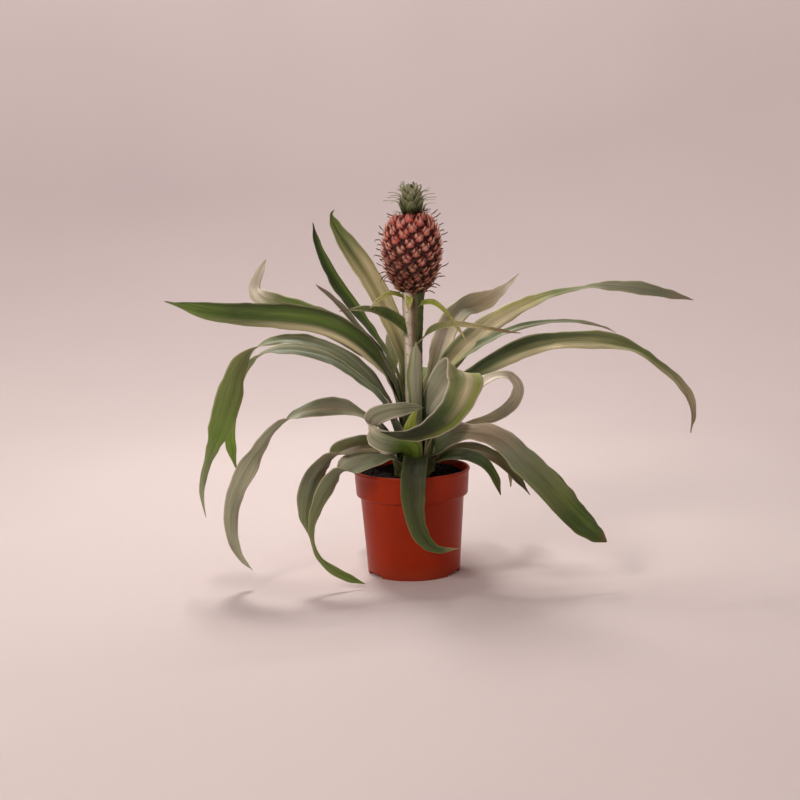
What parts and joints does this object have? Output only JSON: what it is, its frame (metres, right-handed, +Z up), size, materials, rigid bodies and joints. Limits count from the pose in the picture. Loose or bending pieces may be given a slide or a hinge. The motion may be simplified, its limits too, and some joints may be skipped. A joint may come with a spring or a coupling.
{
  "type": "potted pineapple plant",
  "caption": "Ornamental pineapple plant with long arching leaves and one small spiny fruit with a crown, growing in a round nursery pot filled with soil.",
  "frame": {"origin": "middle of the pot's flat underside, which stands on the table", "axes": "+Z up along the pot's axis, +X along the longest spread of the leaves to the right, the hanging front leaf towards -Y"},
  "size_m": [0.5494, 0.2642, 0.4064],
  "materials": {
    "pot_plastic": "satin terracotta-red moulded nursery pot",
    "peat": "dark crumbly peat",
    "stem": "green-brown scaly plant stalk",
    "leaf_blade": "waxy grey-green leaf with fine lengthwise lines and pale margins",
    "fruit_skin": "salmon-red scaly fruit skin",
    "crown_leaf": "grey-green scurfy crown leaf"
  },
  "bodies": {
    "root": {"pot": "pot_plastic", "soil": "peat", "stem": "stem", "leaf_upright_left": "leaf_blade", "leaf_upright_back": "leaf_blade", "leaf_clasp": "leaf_blade", "leaf_folded_left": "leaf_blade", "leaf_narrow_left": "leaf_blade", "leaf_fold_back_right": "leaf_blade", "leaf_mid_right": "leaf_blade", "leaf_far_left": "leaf_blade", "leaf_long_right_top": "leaf_blade", "leaf_back_high": "leaf_blade", "leaf_arch_left": "leaf_blade", "leaf_fold_front": "leaf_blade", "leaf_heart": "leaf_blade", "leaf_back_mid": "leaf_blade", "leaf_arch_left_back": "leaf_blade", "leaf_curl_right": "leaf_blade", "leaf_loop_left": "leaf_blade", "leaf_low_left": "leaf_blade", "leaf_long_right": "leaf_blade", "leaf_under_right": "leaf_blade", "leaf_front": "leaf_blade", "leaf_back_side": "leaf_blade", "leaf_short_left": "leaf_blade", "leaf_broad_right": "leaf_blade", "leaf_back_left": "leaf_blade", "leaf_floor_left": "leaf_blade", "leaf_small_right": "leaf_blade", "leaf_back_low": "leaf_blade", "fruit": "fruit_skin", "crown": "crown_leaf"}
  },
  "joints": []
}
